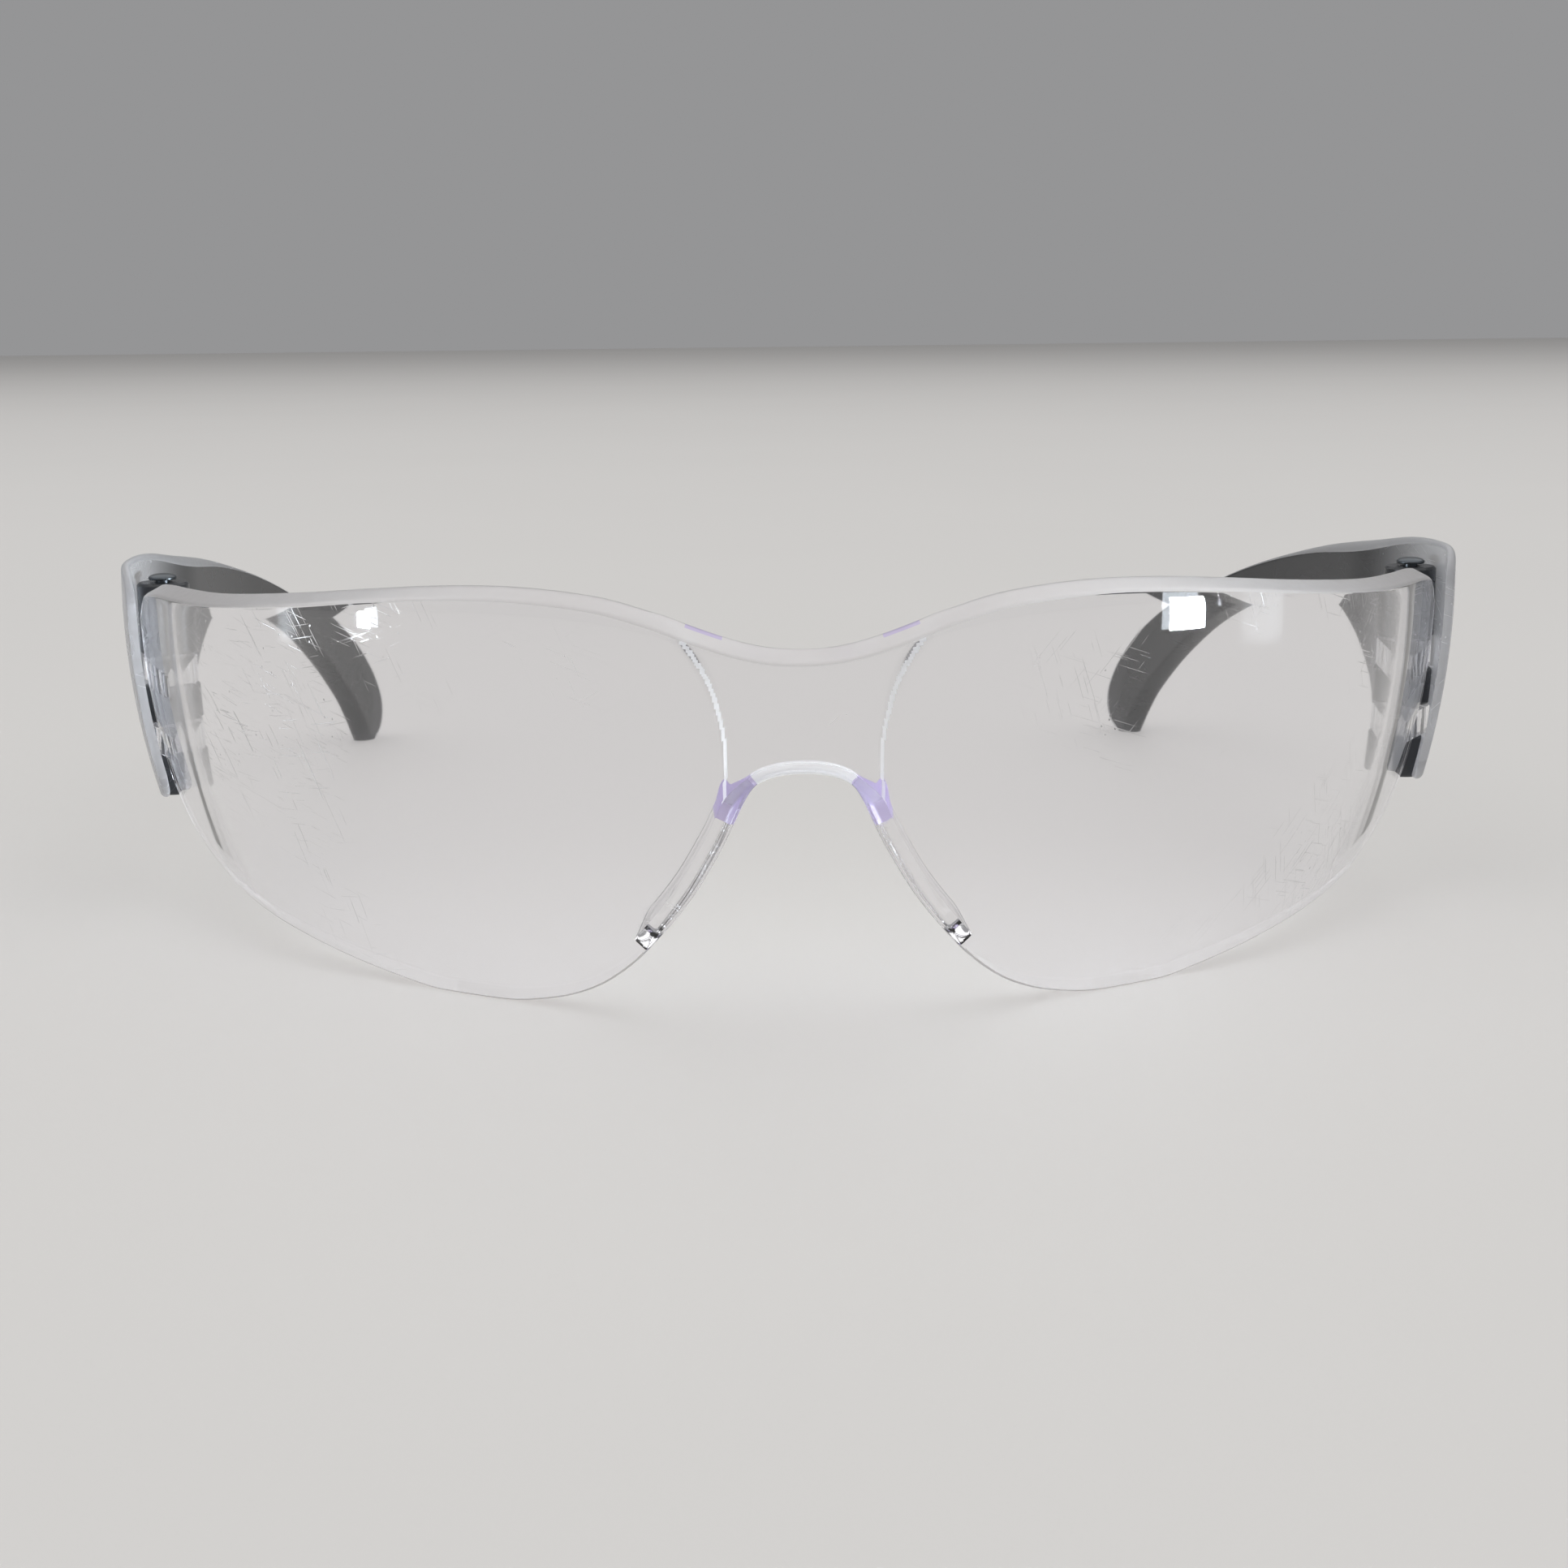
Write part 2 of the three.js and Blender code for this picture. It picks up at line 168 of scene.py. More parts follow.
class GlassesLensSettings(bpy.types.PropertyGroup):
    """Sizes and colours of the lens."""

    thickness: FloatProperty(
        name="Thickness", description="Wall thickness of the lens", default=2.2 * MM,
        min=1.5 * MM, max=3 * MM, unit="LENGTH", precision=4)
    bridge_extra: FloatProperty(
        name="Bridge step", description="Added thickness of the bridge panel, on its inner side",
        default=0.45 * MM, min=0, max=1.5 * MM, unit="LENGTH", precision=4)
    edge_radius: FloatProperty(
        name="Edge radius", description="Rounding of the moulded edges",
        default=0.35 * MM, min=0.1 * MM, max=0.8 * MM, unit="LENGTH", precision=4)
    tint: FloatVectorProperty(
        name="Tint", description="Colour of the light that comes through the lens", subtype="COLOR",
        default=(0.975, 0.968, 0.985), min=0, max=1)
    rim: FloatVectorProperty(
        name="Rim", description="Colour of the moulded edges", subtype="COLOR",
        default=(0.64, 0.615, 0.61), min=0, max=1)
    # The arch colour is a painted highlight: the white band on the nose arch and the white line along the
    # bridge panel's step.
    arch: FloatVectorProperty(
        name="Arch", description="Colour of the nose arch", subtype="COLOR",
        default=(0.92, 0.92, 0.92), min=0, max=1)
    toner: FloatVectorProperty(
        name="Toner", description="Colour of the violet toner in the thick corners", subtype="COLOR",
        default=(0.50, 0.42, 0.66), min=0, max=1)


class GlassesTempleSettings(bpy.types.PropertyGroup):
    """Sizes and colours of the temples and their hinge pins."""

    thickness: FloatProperty(
        name="Arm thickness", description="Thickness of the arm behind the hinge plate",
        default=3.2 * MM, min=2 * MM, max=5 * MM, unit="LENGTH", precision=4)
    # The near-black tint is partly the arms' smoke tint and partly painted shade, for the darkness that
    # clear arms show when seen edge-on.
    tint: FloatVectorProperty(
        name="Tint", description="Colour of the light that comes through the arms", subtype="COLOR",
        default=(0.03, 0.032, 0.036), min=0, max=1)
    # The edge colour is a painted highlight: along the arms' top and bottom edges, on the plate's lip,
    # and on the hinge plate's front, where it fades into the tint.
    edge: FloatVectorProperty(
        name="Edge", description="Colour of the moulded edges of the arms", subtype="COLOR",
        default=(0.60, 0.60, 0.61), min=0, max=1)
    steel: FloatVectorProperty(
        name="Pin steel", description="Colour of the hinge pins", subtype="COLOR",
        default=(0.10, 0.11, 0.12), min=0, max=1)
    pin_sides: IntProperty(
        name="Pin sides", description="Number of flats round a pin", default=48, min=12, max=96)


class GlassesStageSettings(bpy.types.PropertyGroup):
    """The floor, the lights and the camera."""

    floor_colour: FloatVectorProperty(
        name="Floor", description="Colour of the floor", subtype="COLOR",
        default=(0.66, 0.645, 0.625), min=0, max=1)
    surroundings: FloatVectorProperty(
        name="Surroundings", description="Colour of the room around the stage", subtype="COLOR",
        default=(0.30, 0.30, 0.305), min=0, max=1)
    softbox_power: FloatProperty(
        name="Softbox", description="Power of the overhead softbox in watts", default=40.0, min=0)
    focal_length: FloatProperty(
        name="Focal length", description="Focal length of the camera in millimetres, for a 36 mm sensor",
        default=54.97, min=20, max=200)


# Shapes that the lens and the temples follow


def through(points, at):
    """Height of the cubic curve through points, at one distance."""
    last = len(points) - 1
    i = 0
    while i < last - 1 and at > points[i + 1][0]:
        i += 1

    def slope(k):
        if k == 0 and points[0][0] == 0:
            return 0.0
        a, b = points[max(k - 1, 0)], points[min(k + 1, last)]
        return (b[1] - a[1]) / (b[0] - a[0])

    (x0, y0), (x1, y1) = points[i], points[i + 1]
    if y0 == y1:
        return y0
    width = x1 - x0
    t = (at - x0) / width
    flat_start = i > 0 and points[i - 1][1] == y0
    flat_end = i + 2 <= last and points[i + 2][1] == y1
    m0 = 0.0 if flat_start else slope(i) * width
    m1 = 0.0 if flat_end else slope(i + 1) * width
    rise = 3 * t**2 - 2 * t**3
    return (1 - rise) * y0 + rise * y1 + (t**3 - 2 * t**2 + t) * m0 + (t**3 - t**2) * m1


def spline_point(points, t):
    """Point of the even Catmull-Rom curve through points, with t from 0 to 1."""
    last = len(points) - 1
    place = last * t
    i = min(int(place), last - 1)
    w = place - i
    p0, p1, p2, p3 = (points[min(max(i + k, 0), last)] for k in (-1, 0, 1, 2))
    point = []
    for a, b, c, d in zip(p0, p1, p2, p3):
        v0, v1 = (c - a) / 2, (d - b) / 2
        cube = (2 * b - 2 * c + v0 + v1) * w**3
        square = (3 * c - 3 * b - 2 * v0 - v1) * w**2
        point.append(cube + square + v0 * w + b)
    return point


def smoothstep(value, low, high):
    t = min(max((value - low) / (high - low), 0.0), 1.0)
    return t * t * (3 - 2 * t)


def mix(a, b, share):
    return a + (b - a) * share


def lens_point(distance, height, inward):
    """Point of the lens wall, inward from the front surface and measured square to it."""
    side = math.copysign(1, distance)
    along = abs(distance)
    angle = min(along / LENS_RADIUS, WING_START)
    straight = max(along - LENS_RADIUS * WING_START, 0)
    x = side * (LENS_RADIUS * math.sin(angle) + straight * math.cos(angle))
    y = LENS_RADIUS * (1 - math.cos(angle)) + straight * math.sin(angle)
    shrink = math.sqrt(1 - ((height - LENS_WIDEST_Z) / LENS_RISE_RADIUS) ** 2)
    level = inward / shrink
    return (
        x * shrink - side * math.sin(angle) * level,
        LENS_RADIUS - (LENS_RADIUS - y) * shrink + math.cos(angle) * level,
        height,
    )


def temple_outer(back, height):
    """Distance of the temple's outer face from the middle, before the temple is splayed."""
    part = back / TEMPLE_LENGTH
    lip = max(1 - back / LIP_LENGTH, 0)
    drop = (height - LENS_WIDEST_Z) / LENS_RISE_RADIUS
    follow = 1 - smoothstep(back, 0.25 * PLATE_LENGTH, PLATE_LENGTH)
    tuck = LENS_RADIUS * (1 - math.sqrt(1 - drop * drop)) * follow
    return TEMPLE_OUTER_X - LIP_CURVE * lip**2 - ARM_CURVE[0] * part**2 - ARM_CURVE[1] * part**4 - tuck


def corner(start, tip, end, steps=CORNER_STEPS):
    """Rounded corner from start to end, in the section of a moulded wall."""
    points = []
    for k in range(steps + 1):
        t = k / steps
        weights = ((1 - t) ** 2, 2 * t * (1 - t), t * t)
        points.append([sum(w * v for w, v in zip(weights, values)) for values in zip(start, tip, end)])
    return points


def between(start, end, count):
    """Points evenly spaced between start and end, without the two ends."""
    return [[mix(a, b, k / (count + 1)) for a, b in zip(start, end)] for k in range(1, count + 1)]


# Mesh tools


def placed(point):
    """A point of the glasses' own frame, in metres in the model's frame."""
    return (point[0] * MM + MIDDLE_X, point[1] * MM + FRONT_Y, point[2] * MM)


def make_object(name, points, faces):
    mesh = bpy.data.meshes.new(name)
    mesh.from_pydata([placed(p) for p in points], [], faces)
    mesh.validate()
    piece = bpy.data.objects.new(name, mesh)
    bpy.context.scene.collection.objects.link(piece)
    return piece


def lofted(name, sections, materials=(), slot_of=None):
    """Closed solid through equal loops of points; slot_of gives each face's material slot."""
    count = len(sections[0])
    points = [p for section in sections for p in section]
    faces, slots = [], []
    for i in range(len(sections) - 1):
        for k in range(count):
            n = (k + 1) % count
            faces.append((i * count + k, i * count + n, (i + 1) * count + n, (i + 1) * count + k))
            slots.append(slot_of(i, k) if slot_of else 0)
    start = (len(sections) - 1) * count
    faces.append(tuple(range(count))[::-1])
    faces.append(tuple(range(start, start + count)))
    piece = make_object(name, points, faces)
    for material in materials:
        piece.data.materials.append(material)
    piece.data.polygons.foreach_set("material_index", slots + [0, 0])
    turn_outward(piece.data)
    return piece


def turn_outward(mesh):
    """Turns the faces of a closed mesh outward."""
    solid = bmesh.new()
    solid.from_mesh(mesh)
    if solid.calc_volume(signed=True) < 0:
        bmesh.ops.reverse_faces(solid, faces=solid.faces)
    solid.to_mesh(mesh)
    solid.free()


def turned(name, profile, side, sides):
    """Solid of revolution on the hinge axis; its profile of radii and heights closes on the axis."""
    rings = profile[1:-1]
    points = [(side * PIN_X, PIN_Y, profile[0][1])]
    for radius, height in rings:
        for k in range(sides):
            angle = 2 * math.pi * k / sides
            across, along = radius * math.cos(angle), radius * math.sin(angle)
            points.append((side * PIN_X + across, PIN_Y + along, height))
    points.append((side * PIN_X, PIN_Y, profile[-1][1]))
    top = len(points) - 1
    faces = []
    for k in range(sides):
        n = (k + 1) % sides
        faces.append((0, 1 + n, 1 + k))
        for i in range(len(rings) - 1):
            a, b = 1 + i * sides, 1 + (i + 1) * sides
            faces.append((a + k, a + n, b + n, b + k))
        last = 1 + (len(rings) - 1) * sides
        faces.append((last + k, last + n, top))
    return make_object(name, points, faces)


def bore_cutter(side, material):
    """Bar that cuts the pin's bore through one hinge, and gives it a material."""
    cutter = round_bar("bore", side, BORE_RADIUS, HINGE_BOTTOM - BEYOND, HINGE_TOP + BEYOND)
    give_material(cutter, material)
    return cutter


def round_bar(name, side, radius, bottom, top, soft=0.0, sides=64):
    """Upright bar on the hinge axis, with softened rims."""
    profile = [(0, bottom), (radius - soft, bottom)]
    if soft:
        profile += [(radius, bottom + soft), (radius, top - soft)]
    return turned(name, profile + [(radius - soft, top), (0, top)], side, sides)


def combine(piece, operand, operation):
    """Joins, cuts or intersects two closed solids and leaves the result in the first one."""
    modifier = piece.modifiers.new(operation.title(), "BOOLEAN")
    modifier.operation = operation
    modifier.solver = "MANIFOLD"
    modifier.object = operand
    keep_result(piece)
    bpy.data.objects.remove(operand)


def give_material(piece, material):
    """Gives the whole of a piece one material."""
    piece.data.materials.clear()
    piece.data.materials.append(material)
    piece.data.polygons.foreach_set("material_index", [0] * len(piece.data.polygons))


def keep_result(piece):
    """Turns what a piece's modifiers make into its plain mesh, and removes them."""
    depsgraph = bpy.context.evaluated_depsgraph_get()
    result = bpy.data.meshes.new_from_object(piece.evaluated_get(depsgraph))
    piece.modifiers.clear()
    old = piece.data
    piece.data = result
    bpy.data.meshes.remove(old)
    if not piece.data.polygons:
        raise RuntimeError(f"{piece.name} lost its faces")


def smooth(piece, angle=32):
    """Smooth shading with sharp moulded edges."""
    mesh = piece.data
    mesh.shade_smooth()
    mesh.set_sharp_from_angle(angle=math.radians(angle))
    mesh.update()


def lug_outline(side, radius, turn=0.0):
    """Plan outline of one hinge lug, from inside the lens wall to round the pin."""
    across, along = LUG_APEX[0] - PIN_X, LUG_APEX[1] - PIN_Y
    reach = math.hypot(across, along)
    bearing = math.atan2(along, across) + turn
    spread = math.acos(radius / reach)
    steps = 36
    outline = [(side * (PIN_X + reach * math.cos(bearing)), PIN_Y + reach * math.sin(bearing))]
    for k in range(steps + 1):
        angle = bearing + spread + (2 * math.pi - 2 * spread) * k / steps
        outline.append((side * (PIN_X + radius * math.cos(angle)), PIN_Y + radius * math.sin(angle)))
    return outline if side > 0 else outline[::-1]


# Geometry Nodes


def lug_stack_tree():
    """Tree that raises a flat outline into a lug and repeats it up the hinge axis."""
    tree = bpy.data.node_groups.get("Lug stack")
    if tree:
        return tree
    tree = bpy.data.node_groups.new("Lug stack", "GeometryNodeTree")
    face = tree.interface
    face.new_socket("Geometry", in_out="OUTPUT", socket_type="NodeSocketGeometry")
    face.new_socket("Outline", in_out="INPUT", socket_type="NodeSocketGeometry")
    inputs = {"Height": "Float", "Pitch": "Float", "Count": "Int", "Material": "Material"}
    for name, kind in inputs.items():
        face.new_socket(name, in_out="INPUT", socket_type=f"NodeSocket{kind}")
    nodes, link = tree.nodes, tree.links.new
    given = nodes.new("NodeGroupInput")
    result = nodes.new("NodeGroupOutput")
    rise = nodes.new("ShaderNodeCombineXYZ")
    link(given.outputs["Height"], rise.inputs["Z"])
    raise_faces = nodes.new("GeometryNodeExtrudeMesh")
    raise_faces.inputs["Individual"].default_value = False
    link(given.outputs["Outline"], raise_faces.inputs["Mesh"])
    link(rise.outputs[0], raise_faces.inputs["Offset"])
    underside = nodes.new("GeometryNodeFlipFaces")
    link(given.outputs["Outline"], underside.inputs["Mesh"])
    closed = nodes.new("GeometryNodeJoinGeometry")
    link(underside.outputs[0], closed.inputs[0])
    link(raise_faces.outputs["Mesh"], closed.inputs[0])
    sewn = nodes.new("GeometryNodeMergeByDistance")
    sewn.inputs["Distance"].default_value = 1e-6
    link(closed.outputs[0], sewn.inputs["Geometry"])
    step = nodes.new("ShaderNodeCombineXYZ")
    link(given.outputs["Pitch"], step.inputs["Z"])
    ladder = nodes.new("GeometryNodeMeshLine")
    ladder.mode = "OFFSET"
    link(given.outputs["Count"], ladder.inputs["Count"])
    link(step.outputs[0], ladder.inputs["Offset"])
    copies = nodes.new("GeometryNodeInstanceOnPoints")
    link(ladder.outputs[0], copies.inputs["Points"])
    link(sewn.outputs[0], copies.inputs["Instance"])
    real = nodes.new("GeometryNodeRealizeInstances")
    link(copies.outputs[0], real.inputs["Geometry"])
    finish = nodes.new("GeometryNodeSetMaterial")
    link(real.outputs[0], finish.inputs["Geometry"])
    link(given.outputs["Material"], finish.inputs["Material"])
    link(finish.outputs[0], result.inputs["Geometry"])
    return tree


def lug_stack(name, side, radius, room, material, turn=0.0):
    """The hinge lugs of one side, or with room round them the cut that they need."""
    outline = [(x, y, LUG_BOTTOM - room) for x, y in lug_outline(side, radius, turn)]
    piece = make_object(name, outline, [tuple(range(len(outline)))])
    modifier = piece.modifiers.new("Lug stack", "NODES")
    modifier.node_group = lug_stack_tree()
    values = {
        "Height": (LUG_HEIGHT + 2 * room) * MM,
        "Pitch": LUG_PITCH * MM,
        "Count": LUG_COUNT,
        "Material": material,
    }
    for socket in modifier.node_group.interface.items_tree:
        if socket.name in values:
            modifier[socket.identifier] = values[socket.name]
    keep_result(piece)
    give_material(piece, material)
    return piece


# Materials


def new_material(name):
    material = bpy.data.materials.get(name) or bpy.data.materials.new(name)
    material.use_nodes = True
    material.node_tree.nodes.clear()
    return material


def add_node(tree, kind, inputs=None, **settings):
    """A node with its settings and inputs; an input is a value or a socket to link."""
    node = tree.nodes.new(kind)
    for name, value in settings.items():
        setattr(node, name, value)
    for name, value in (inputs or {}).items():
        if isinstance(value, bpy.types.NodeSocket):
            tree.links.new(value, node.inputs[name])
        else:
            node.inputs[name].default_value = value
    return node


def maths(tree, operation, a, b=0.0):
    return add_node(tree, "ShaderNodeMath", {0: a, 1: b}, operation=operation).outputs[0]


def wear_group():
    """Fine scratches, specks and haze, as a roughness and a height."""
    group = bpy.data.node_groups.get("Handling wear")
    if group:
        return group
    group = bpy.data.node_groups.new("Handling wear", "ShaderNodeTree")
    face = group.interface
    for name, value in (("Polish", 0.03), ("Scratches", 1.0), ("Haze", 0.02)):
        socket = face.new_socket(name, in_out="INPUT", socket_type="NodeSocketFloat")
        socket.default_value = value
    face.new_socket("Place", in_out="INPUT", socket_type="NodeSocketVector")
    face.new_socket("Roughness", in_out="OUTPUT", socket_type="NodeSocketFloat")
    face.new_socket("Height", in_out="OUTPUT", socket_type="NodeSocketFloat")
    given = add_node(group, "NodeGroupInput")
    result = add_node(group, "NodeGroupOutput")
    place = given.outputs["Place"]

    patches = add_node(group, "ShaderNodeTexNoise", {"Vector": place, "Scale": 60.0, "Detail": 2.0})
    patch = add_node(group, "ShaderNodeMapRange", {
        "Value": patches.outputs["Fac"], "From Min": 0.48, "From Max": 0.66}).outputs["Result"]
    lines = None
    for turn, seed in ((0.35, 0.0), (1.25, 3.7), (2.3, 9.1)):
        turned_place = add_node(group, "ShaderNodeMapping", {
            "Vector": place, "Location": (seed, seed, seed), "Rotation": (0.0, turn, 0.3 * turn),
            "Scale": (1 / 170, 1 / 170, 1 / 9000)}, vector_type="TEXTURE")
        streaks = add_node(group, "ShaderNodeTexNoise", {
            "Vector": turned_place.outputs[0], "Scale": 1.0, "Detail": 0.0})
        line = add_node(group, "ShaderNodeMapRange", {
            "Value": streaks.outputs["Fac"], "From Min": 0.78, "From Max": 0.81}).outputs["Result"]
        lines = maths(group, "MAXIMUM", lines, line) if lines else line
    specks = add_node(group, "ShaderNodeTexVoronoi", {"Vector": place, "Scale": 700.0})
    speck = add_node(group, "ShaderNodeMapRange", {
        "Value": specks.outputs["Distance"], "From Min": 0.10, "From Max": 0.05}).outputs["Result"]
    marks = maths(group, "MULTIPLY", maths(group, "MAXIMUM", lines, speck), patch)
    marks = maths(group, "MULTIPLY", marks, given.outputs["Scratches"])
    haze = add_node(group, "ShaderNodeTexNoise", {"Vector": place, "Scale": 35.0, "Detail": 3.0})
    rough = maths(group, "MULTIPLY", haze.outputs["Fac"], given.outputs["Haze"])
    rough = maths(group, "ADD", rough, given.outputs["Polish"])
    rough = maths(group, "ADD", rough, maths(group, "MULTIPLY", marks, 0.35))
    group.links.new(rough, result.inputs["Roughness"])
    group.links.new(maths(group, "SUBTRACT", 1.0, marks), result.inputs["Height"])
    return group


def clear_plastic(name, polish, scratches, haze, tint, bump, transmission=1.0, specular=0.5, front=None):
    """Clear polycarbonate with handling wear, and if front is given a painted highlight that makes it
    paler towards the lens.

    Shadow rays go straight through it.
    """
    material = new_material(name)
    tree = material.node_tree
    place = add_node(tree, "ShaderNodeTexCoord").outputs["Object"]
    wear = add_node(tree, "ShaderNodeGroup", node_tree=wear_group())
    for key, value in (("Polish", polish), ("Scratches", scratches), ("Haze", haze)):
        wear.inputs[key].default_value = value
    tree.links.new(place, wear.inputs["Place"])
    relief = add_node(tree, "ShaderNodeBump", {
        "Height": wear.outputs["Height"], "Strength": bump, "Distance": 0.05 * MM})
    glass = add_node(tree, "ShaderNodeBsdfPrincipled", {
        "Base Color": (*tint, 1.0), "IOR": 1.585, "Transmission Weight": transmission,
        "Specular IOR Level": specular,
        "Roughness": wear.outputs["Roughness"], "Normal": relief.outputs["Normal"]})
    clear = add_node(tree, "ShaderNodeBsdfTransparent", {"Color": (0.93, 0.93, 0.94, 1.0)})
    # front is the colour of a painted highlight on the hinge plate, which fades into the tint towards the
    # arm
    if front:
        depth = add_node(tree, "ShaderNodeSeparateXYZ", {0: place}).outputs["Y"]
        start, end = (placed((0, TEMPLE_START + back, 0))[1] for back in PLATE_HIGHLIGHT_FADE)
        share = add_node(tree, "ShaderNodeMapRange", {
            "Value": depth, "From Min": start, "From Max": end}, interpolation_type="SMOOTHSTEP")
        highlight_fade_mix = add_node(tree, "ShaderNodeMix", {
            0: share.outputs["Result"], 6: (*front, 1.0), 7: (*tint, 1.0)}, data_type="RGBA")
        tree.links.new(highlight_fade_mix.outputs[2], glass.inputs["Base Color"])
    rays = add_node(tree, "ShaderNodeLightPath")
    shader = add_node(tree, "ShaderNodeMixShader", {
        0: rays.outputs["Is Shadow Ray"], 1: glass.outputs[0], 2: clear.outputs[0]})
    add_node(tree, "ShaderNodeOutputMaterial", {"Surface": shader.outputs[0]})
    return material


def matt_plastic_and_highlight(name, colour):
    """A moulded edge or corner: matt, and partly white because it scatters light. With the arch and edge
    colours it is a painted highlight.
    """
    material = new_material(name)
    tree = material.node_tree
    place = add_node(tree, "ShaderNodeTexCoord").outputs["Object"]
    grain = add_node(tree, "ShaderNodeTexNoise", {"Vector": place, "Scale": 900.0, "Detail": 3.0})
    rough = add_node(tree, "ShaderNodeMapRange", {
        "Value": grain.outputs["Fac"], "To Min": 0.3, "To Max": 0.55}).outputs["Result"]
    relief = add_node(tree, "ShaderNodeBump", {
        "Height": grain.outputs["Fac"], "Strength": 0.2, "Distance": 0.03 * MM})
    glass = add_node(tree, "ShaderNodeBsdfPrincipled", {
        "Base Color": (*colour, 1.0), "IOR": 1.585, "Transmission Weight": 0.55,
        "Roughness": rough, "Normal": relief.outputs["Normal"]})
    clear = add_node(tree, "ShaderNodeBsdfTransparent", {"Color": (0.93, 0.93, 0.94, 1.0)})
    rays = add_node(tree, "ShaderNodeLightPath")
    shader = add_node(tree, "ShaderNodeMixShader", {
        0: rays.outputs["Is Shadow Ray"], 1: glass.outputs[0], 2: clear.outputs[0]})
    add_node(tree, "ShaderNodeOutputMaterial", {"Surface": shader.outputs[0]})
    return material


def pin_steel(colour):
    """Blackened steel wire with fine drawing lines."""
    material = new_material("pin_steel")
    tree = material.node_tree
    place = add_node(tree, "ShaderNodeTexCoord").outputs["Object"]
    fine = add_node(tree, "ShaderNodeMapping", {"Vector": place, "Scale": (900.0, 900.0, 9000.0)})
    grain = add_node(tree, "ShaderNodeTexNoise", {
        "Vector": fine.outputs[0], "Scale": 1.0, "Detail": 3.0})
    rough = add_node(tree, "ShaderNodeMapRange", {
        "Value": grain.outputs["Fac"], "To Min": 0.22, "To Max": 0.42}).outputs["Result"]
    relief = add_node(tree, "ShaderNodeBump", {
        "Height": grain.outputs["Fac"], "Strength": 0.2, "Distance": 0.02 * MM})
    steel = add_node(tree, "ShaderNodeBsdfPrincipled", {
        "Base Color": (*colour, 1.0), "Metallic": 1.0, "Roughness": rough,
        "Normal": relief.outputs["Normal"]})
    add_node(tree, "ShaderNodeOutputMaterial", {"Surface": steel.outputs[0]})
    return material


def floor_finish(colour):
    """Pale table top with a very faint mottle."""
    material = new_material("floor_finish")
    tree = material.node_tree
    place = add_node(tree, "ShaderNodeTexCoord").outputs["Object"]
    mottle = add_node(tree, "ShaderNodeTexNoise", {"Vector": place, "Scale": 6.0, "Detail": 4.0})
    darker = [0.97 * part for part in colour]
    shade = add_node(tree, "ShaderNodeMix", {
        0: mottle.outputs["Fac"], 6: (*darker, 1.0), 7: (*colour, 1.0)}, data_type="RGBA")
    surface = add_node(tree, "ShaderNodeBsdfPrincipled", {
        "Base Color": shade.outputs[2], "Roughness": 0.6})
    add_node(tree, "ShaderNodeOutputMaterial", {"Surface": surface.outputs[0]})
    return material


# The lens. Its material slots are the clear body, the matt rim, the violet corners and a painted
# highlight: white on the nose arch and along the bridge panel's step.
CLEAR, RIM, VIOLET, PAINTED_HIGHLIGHT = range(4)


def border_at(height):
    """Half width of the bridge panel at a height."""
    return through(BRIDGE_BORDER, min(max(height, BRIDGE_BORDER[0][0]), BRIDGE_BORDER[-1][0]))


def step_width(height):
    """Width of the rounded step around the bridge panel, which softens towards the brow."""
    return mix(*STEP_WIDTH, smoothstep(height, *STEP_HEIGHTS))


def lens_section(distance, inset, settings):
    """Loop round the lens wall at one distance from the middle, as inward depths and heights."""
    thickness = settings.thickness / MM
    extra = settings.bridge_extra / MM
    radius = settings.edge_radius / MM
    along = abs(distance)
    reach = 0.1
    near, far = max(along - reach, 0), min(along + reach, LENS_END)
    edges = []
    for outline in (LENS_BOTTOM, LENS_TOP):
        slope = (through(outline, far) - through(outline, near)) / (far - near)
        edges.append((through(outline, along), radius * math.hypot(slope, 1)))
    (low, soft_low), (high, soft_high) = edges
    low += inset
    high -= inset
    brow = high - TOP_BEVEL

    def back(height):
        step = smoothstep(border_at(height) - along, 0, step_width(height))
        return thickness + extra * step - inset

    top_back = back(high)
    share = radius / top_back
    loop = corner((inset + radius, low), (inset, low), (inset, low + soft_low))
    loop += between((inset, low + soft_low), (inset, brow - soft_high), FRONT_POINTS)
    bevel_start = (inset + radius, brow + TOP_BEVEL * share)
    loop += corner((inset, brow - soft_high), (inset, brow), bevel_start)
    bevel_end = (top_back - radius, high - TOP_BEVEL * share)
    loop += between(bevel_start, bevel_end, BEVEL_POINTS)
    loop += corner(bevel_end, (top_back, high), (top_back, high - soft_high))
    heights = between((high - soft_high,), (low + soft_low,), BACK_POINTS)
    loop += [(back(height), height) for height, in heights]
    bottom_back = back(low)
    loop += corner((bottom_back, low + soft_low), (bottom_back, low), (bottom_back - radius, low))
    return [lens_point(distance, height, inward) for inward, height in loop]


def rim_strips():
    """The strips of a lens section on its top edge, its inner side and its bottom edge."""
    arc = CORNER_STEPS + 1
    top_start = arc + FRONT_POINTS + 1
    inner_start = 3 * arc + FRONT_POINTS + BEVEL_POINTS
    bottom_start = inner_start + BACK_POINTS + 1
    top = range(top_start, inner_start - 2)
    inner = range(inner_start, bottom_start)
    bottom = {*range(bottom_start, bottom_start + arc), *range(4)}
    return top, inner, bottom


